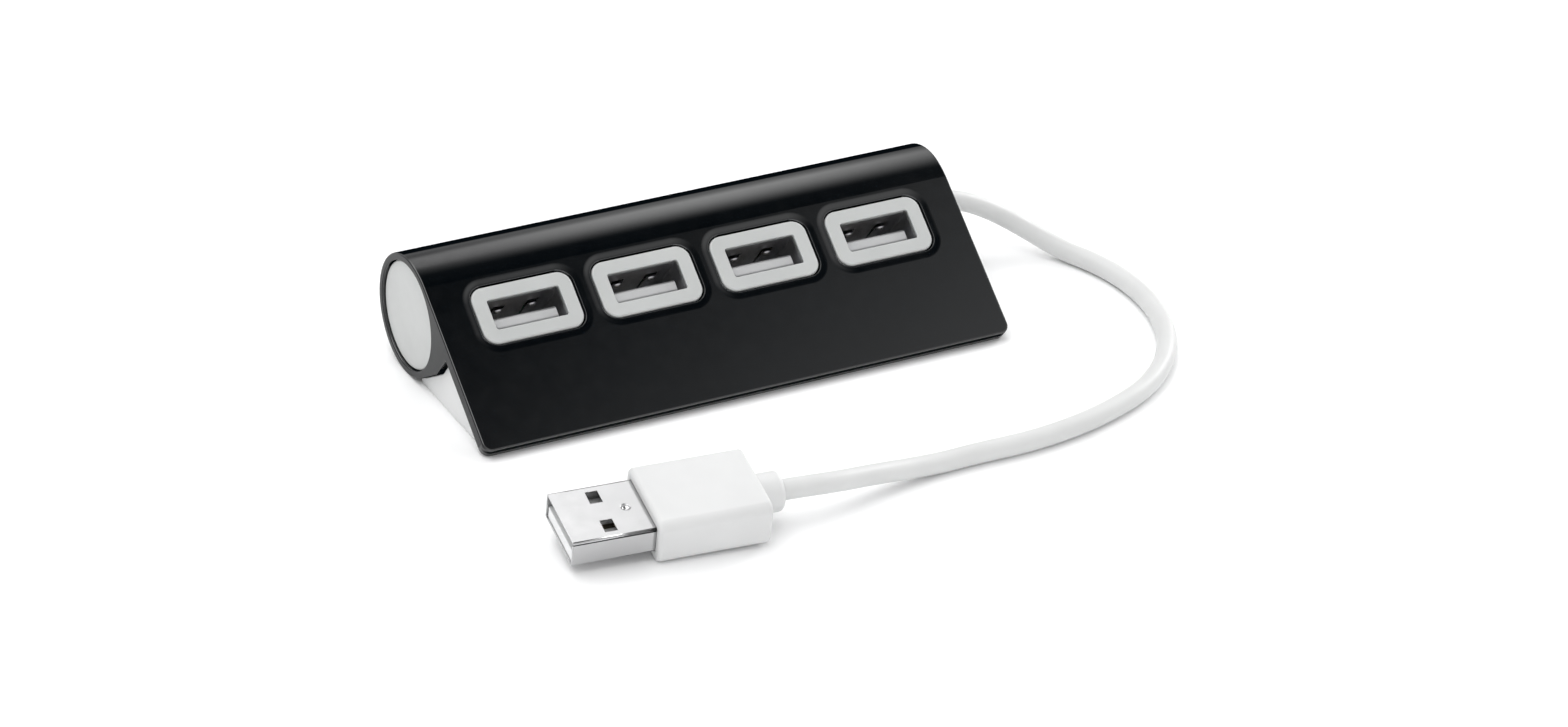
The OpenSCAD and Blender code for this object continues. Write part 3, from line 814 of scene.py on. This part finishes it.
SKY_HIGH = 0.80
SKY_LOW = 0.95
# The card and the soft boxes are boxes in x and y of a direction that is one unit long:
# (rise in x), (fall in x), (rise in y), (fall in y), and for a soft box its brightness.
CARD = [(0.12, 0.26), (0.26, 0.46), (-0.70, -0.40), (0.82, 0.95)]
CARD_LEAN = 0.20
CARD_LIGHT = 0.005
SOFT_BOXES = [
    ((0.345, 0.425), (0.44, 0.52), (0.12, 0.68), (0.72, 0.95), 1.85),
    ((0.00, 0.20), (0.355, 0.375), (0.36, 0.50), (0.70, 0.85), 2.0),
    ((0.66, 0.74), (0.86, 0.94), (0.00, 0.16), (0.40, 0.56), 6.0),
    ((-0.70, -0.40), (0.00, 0.14), (-0.50, -0.20), (0.50, 0.75), 2.1),
]


def build_sky():
    """Soft white light from all round, and a dark card overhead that keeps the black face black."""
    world = bpy.data.worlds.new("studio")
    world.use_nodes = True
    scene.world = world
    sky = Sky(world)
    light = sky.ramp(sky.z, 0.05, 0.45, SKY_LOW, SKY_HIGH)
    # the card's right edge leans out towards the back
    lean = sky.ramp(sky.y, -0.36, -0.14, 0, CARD_LEAN)
    card = sky.box(*CARD, right_x=sky.math("SUBTRACT", sky.x, lean))
    keep = sky.math("SUBTRACT", 1.0, sky.math("MULTIPLY", card, 1 - CARD_LIGHT))
    strength = sky.math("MULTIPLY", light, keep)
    for *edges, brightness in SOFT_BOXES:
        glow = sky.math("MULTIPLY", sky.box(*edges), sky.ramp(sky.z, 0.0, 0.15))
        strength = sky.math("ADD", strength, sky.math("MULTIPLY", glow, brightness))
    background = world.node_tree.nodes["Background"]
    background.inputs["Color"].default_value = (1, 1, 1, 1)
    world.node_tree.links.new(strength, background.inputs["Strength"])


CAMERA_AZIMUTH = radians(-30.764)
CAMERA_ELEVATION = radians(31.022)
CAMERA_ROLL = radians(4.133)
CAMERA_DISTANCE = 856.628 * MM
CAMERA_TARGET = Vector((22.323, 0, -14.929)) * MM
CAMERA_LENS_MM = 119.23
CAMERA_SENSOR_MM = 36


def build_camera():
    data = bpy.data.cameras.new("camera")
    data.lens = CAMERA_LENS_MM
    data.sensor_width = CAMERA_SENSOR_MM
    camera = bpy.data.objects.new("camera", data)
    scene.collection.objects.link(camera)
    a, e = CAMERA_AZIMUTH, CAMERA_ELEVATION
    back = Vector((sin(a) * cos(e), -cos(a) * cos(e), sin(e)))
    level_right = Vector((cos(a), sin(a), 0))
    level_up = back.cross(level_right)
    right = cos(CAMERA_ROLL) * level_right + sin(CAMERA_ROLL) * level_up
    up = back.cross(right)
    rotation = Matrix((right, up, back)).transposed()
    position = CAMERA_TARGET + back * CAMERA_DISTANCE
    camera.matrix_world = Matrix.Translation(position) @ rotation.to_4x4()
    scene.camera = camera


build_body()
build_caps()
build_base()
build_bezels()
for port in PORTS:
    build_port(port)
build_plug()
build_cable()
build_grommet()
dress_cad_nodes()
build_floor()
build_sky()
build_camera()
scene.view_settings.view_transform = "Standard"
